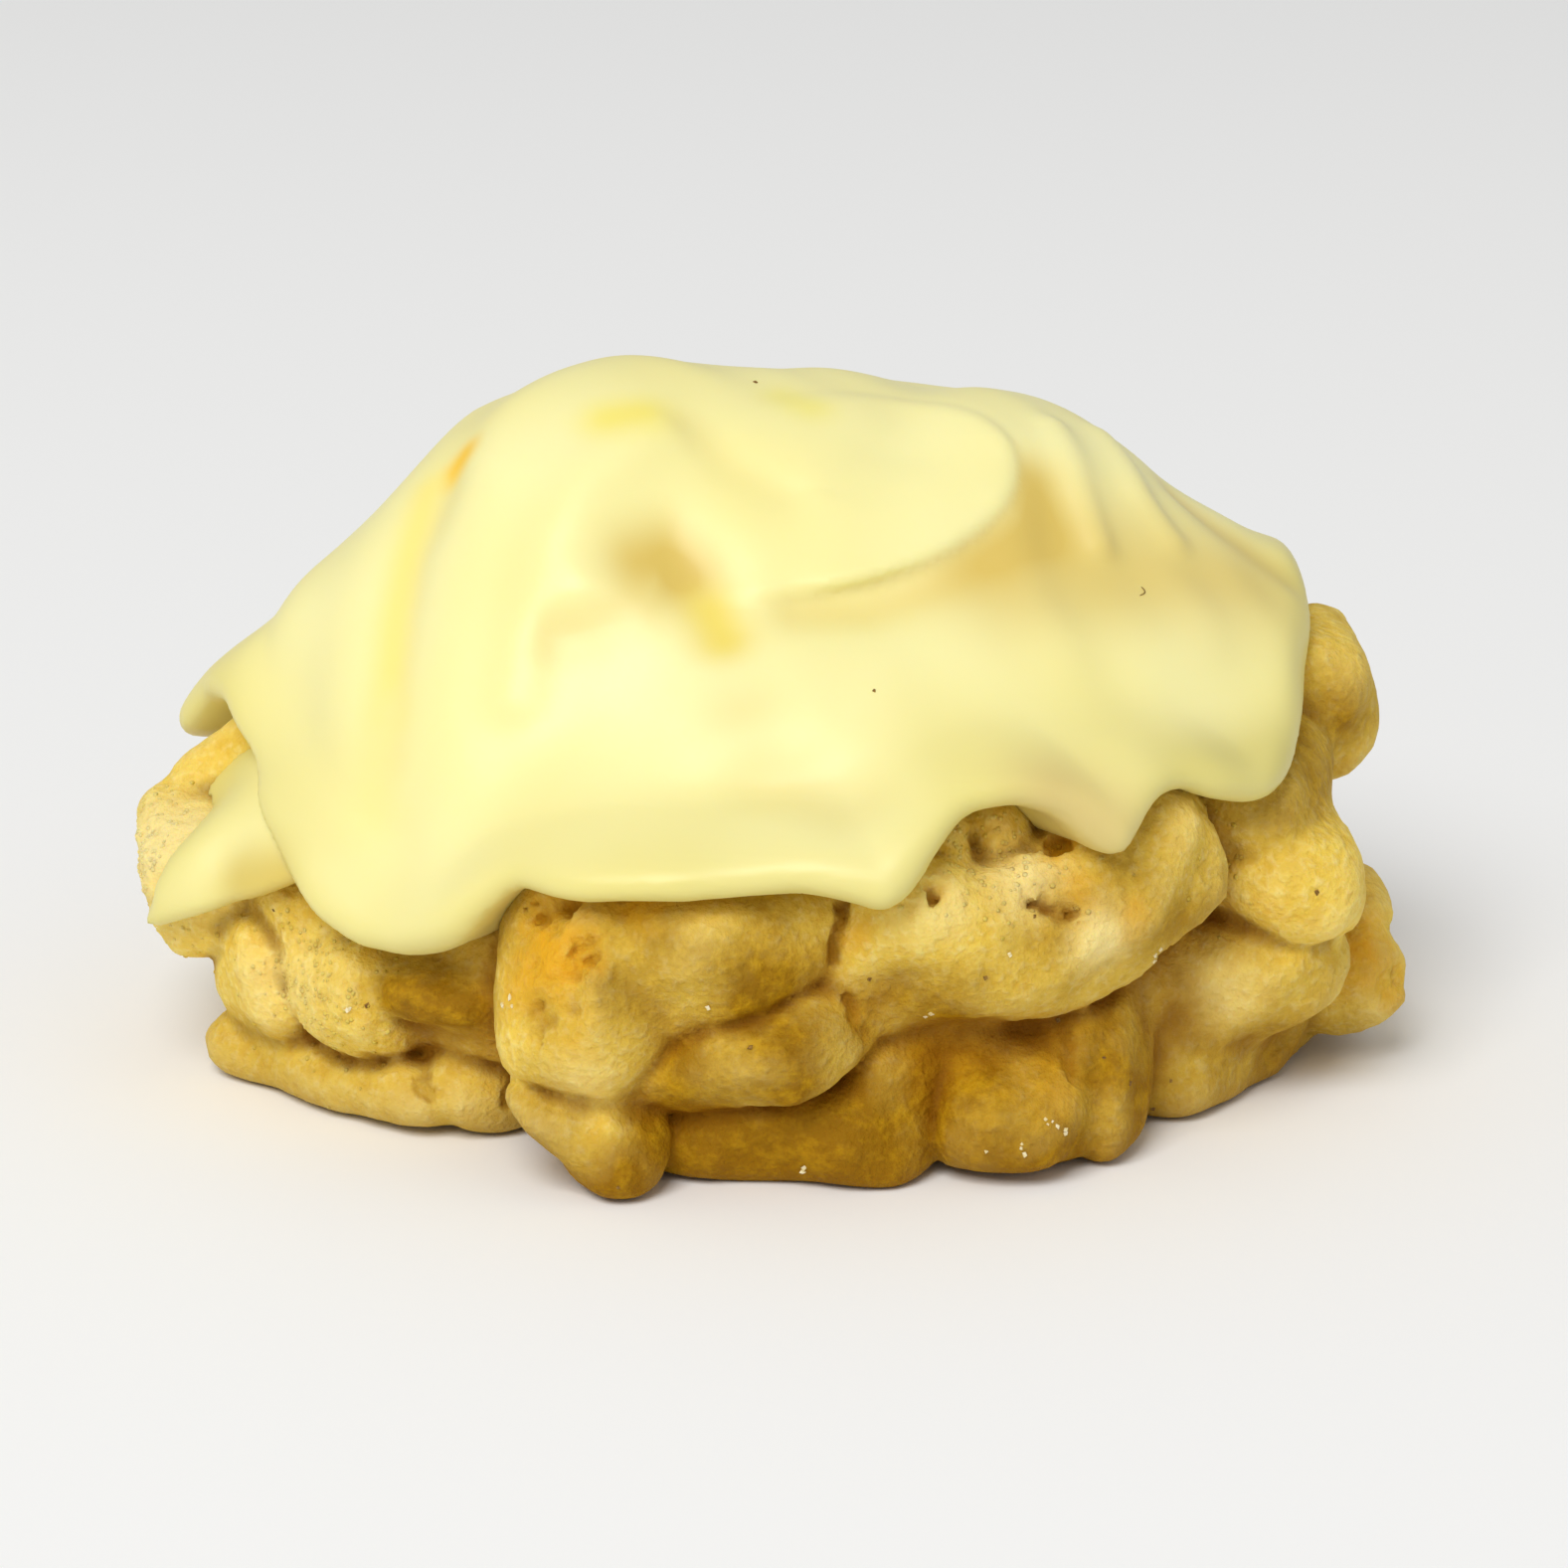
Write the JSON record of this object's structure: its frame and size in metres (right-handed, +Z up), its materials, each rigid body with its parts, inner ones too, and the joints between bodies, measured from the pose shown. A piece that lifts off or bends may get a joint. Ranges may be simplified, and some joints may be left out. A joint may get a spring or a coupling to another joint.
{
  "type": "iced sugar cookie",
  "caption": "Thick soft sugar cookie baked as an uneven heap of pale gold dough lumps, under a poured coat of pale lemon icing that has run down its sides in drips.",
  "frame": {"origin": "middle of the flat underside, on the surface that the cookie rests on", "axes": "+Z up out of the icing, -Y towards the face with the browned lump and the long drips, +X towards the cookie's right as seen from -Y"},
  "size_m": [0.0765, 0.0617, 0.0418],
  "materials": {
    "dough": "matte",
    "icing": "satin"
  },
  "bodies": {
    "root": {"cookie": "dough", "icing": "icing"}
  },
  "joints": []
}
